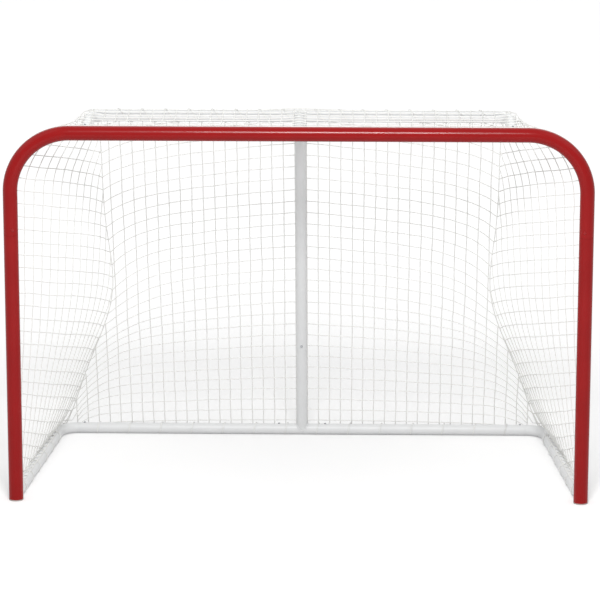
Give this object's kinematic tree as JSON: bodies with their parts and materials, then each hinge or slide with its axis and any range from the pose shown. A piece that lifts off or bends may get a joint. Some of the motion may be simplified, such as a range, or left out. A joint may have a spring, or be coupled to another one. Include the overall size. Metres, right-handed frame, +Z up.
{
  "type": "ice hockey goal",
  "caption": "Full-size ice hockey goal: a red tube front frame, a white tube base, strut and top shelf held by snap buttons, and a laced white net.",
  "frame": {"origin": "on the ice, under the middle of the whole goal, from the front buttons to the back of the net", "axes": "+X along the crossbar, to the right for a shooter who looks into the goal; +Y into the goal; +Z up"},
  "size_m": [1.93, 0.8486, 1.2698],
  "materials": {
    "red_steel": "gloss",
    "white_steel": "gloss",
    "red_button": "gloss",
    "zinc_button": "satin",
    "spring_steel": "satin",
    "foot_cap": "matte",
    "net_clip": "satin",
    "net_twine": "matte",
    "lacing_cord": "matte"
  },
  "bodies": {
    "frame": {"left_post": "red_steel", "right_post": "red_steel", "left_corner": "red_steel", "right_corner": "red_steel", "left_foot_cap": "foot_cap", "right_foot_cap": "foot_cap", "left_base_rail": "white_steel", "right_base_rail": "white_steel", "left_rear_bar": "white_steel", "right_rear_bar": "white_steel", "base_tee": "white_steel", "upper_strut": "white_steel", "left_shelf_bar": "white_steel", "right_shelf_bar": "white_steel", "snap_springs": "spring_steel", "rear_net": "net_twine", "top_net": "net_twine", "left_side_net": "net_twine", "right_side_net": "net_twine", "post_clips": "net_clip", "crossbar_clips": "net_clip", "shelf_lacing": "lacing_cord", "rear_lacing": "lacing_cord", "rail_lacing": "lacing_cord"},
    "left_post_button": {"left_post_button": "red_button"},
    "right_post_button": {"right_post_button": "red_button"},
    "crossbar_button": {"crossbar_button": "red_button"},
    "left_rail_button": {"left_rail_button": "zinc_button"},
    "right_rail_button": {"right_rail_button": "zinc_button"},
    "left_rear_button": {"left_rear_button": "zinc_button"},
    "right_rear_button": {"right_rear_button": "zinc_button"},
    "left_tee_button": {"left_tee_button": "zinc_button"},
    "right_tee_button": {"right_tee_button": "zinc_button"},
    "strut_button": {"strut_button": "zinc_button"},
    "strut_head_button": {"strut_head_button": "zinc_button"},
    "left_arm_button": {"left_arm_button": "zinc_button"},
    "right_arm_button": {"right_arm_button": "zinc_button"},
    "left_shelf_button": {"left_shelf_button": "zinc_button"},
    "right_shelf_button": {"right_shelf_button": "zinc_button"}
  },
  "joints": [
    {"name": "left_post_press", "type": "slide", "parent": "frame", "child": "left_post_button", "axis": [0.309, -0.9511, 0], "range_m": [-0.0055, 0], "stiffness_N_per_m": 800, "deforming": ["snap_springs"]},
    {"name": "right_post_press", "type": "slide", "parent": "frame", "child": "right_post_button", "axis": [-0.309, -0.9511, 0], "range_m": [-0.0055, 0], "stiffness_N_per_m": 800, "deforming": ["snap_springs"]},
    {"name": "crossbar_press", "type": "slide", "parent": "frame", "child": "crossbar_button", "axis": [0, 1, 0], "range_m": [-0.0055, 0], "stiffness_N_per_m": 800, "deforming": ["snap_springs"]},
    {"name": "left_rail_press", "type": "slide", "parent": "frame", "child": "left_rail_button", "axis": [0, 0, 1], "range_m": [-0.0051, 0], "stiffness_N_per_m": 800, "deforming": ["snap_springs"]},
    {"name": "right_rail_press", "type": "slide", "parent": "frame", "child": "right_rail_button", "axis": [0, 0, 1], "range_m": [-0.0051, 0], "stiffness_N_per_m": 800, "deforming": ["snap_springs"]},
    {"name": "left_rear_press", "type": "slide", "parent": "frame", "child": "left_rear_button", "axis": [0, 0, 1], "range_m": [-0.0051, 0], "stiffness_N_per_m": 800, "deforming": ["snap_springs"]},
    {"name": "right_rear_press", "type": "slide", "parent": "frame", "child": "right_rear_button", "axis": [0, 0, 1], "range_m": [-0.0051, 0], "stiffness_N_per_m": 800, "deforming": ["snap_springs"]},
    {"name": "left_tee_press", "type": "slide", "parent": "frame", "child": "left_tee_button", "axis": [0, 0, 1], "range_m": [-0.0051, 0], "stiffness_N_per_m": 800, "deforming": ["snap_springs"]},
    {"name": "right_tee_press", "type": "slide", "parent": "frame", "child": "right_tee_button", "axis": [0, 0, 1], "range_m": [-0.0051, 0], "stiffness_N_per_m": 800, "deforming": ["snap_springs"]},
    {"name": "strut_press", "type": "slide", "parent": "frame", "child": "strut_button", "axis": [0, -0.9459, -0.3245], "range_m": [-0.0051, 0], "stiffness_N_per_m": 800, "deforming": ["snap_springs"]},
    {"name": "strut_head_press", "type": "slide", "parent": "frame", "child": "strut_head_button", "axis": [0, 0, -1], "range_m": [-0.0051, 0], "stiffness_N_per_m": 800, "deforming": ["snap_springs"]},
    {"name": "left_arm_press", "type": "slide", "parent": "frame", "child": "left_arm_button", "axis": [0, 0, 1], "range_m": [-0.0051, 0], "stiffness_N_per_m": 800, "deforming": ["snap_springs"]},
    {"name": "right_arm_press", "type": "slide", "parent": "frame", "child": "right_arm_button", "axis": [0, 0, 1], "range_m": [-0.0051, 0], "stiffness_N_per_m": 800, "deforming": ["snap_springs"]},
    {"name": "left_shelf_press", "type": "slide", "parent": "frame", "child": "left_shelf_button", "axis": [0, 0, -1], "range_m": [-0.0051, 0], "stiffness_N_per_m": 800, "deforming": ["snap_springs"]},
    {"name": "right_shelf_press", "type": "slide", "parent": "frame", "child": "right_shelf_button", "axis": [0, 0, -1], "range_m": [-0.0051, 0], "stiffness_N_per_m": 800, "deforming": ["snap_springs"]}
  ]
}
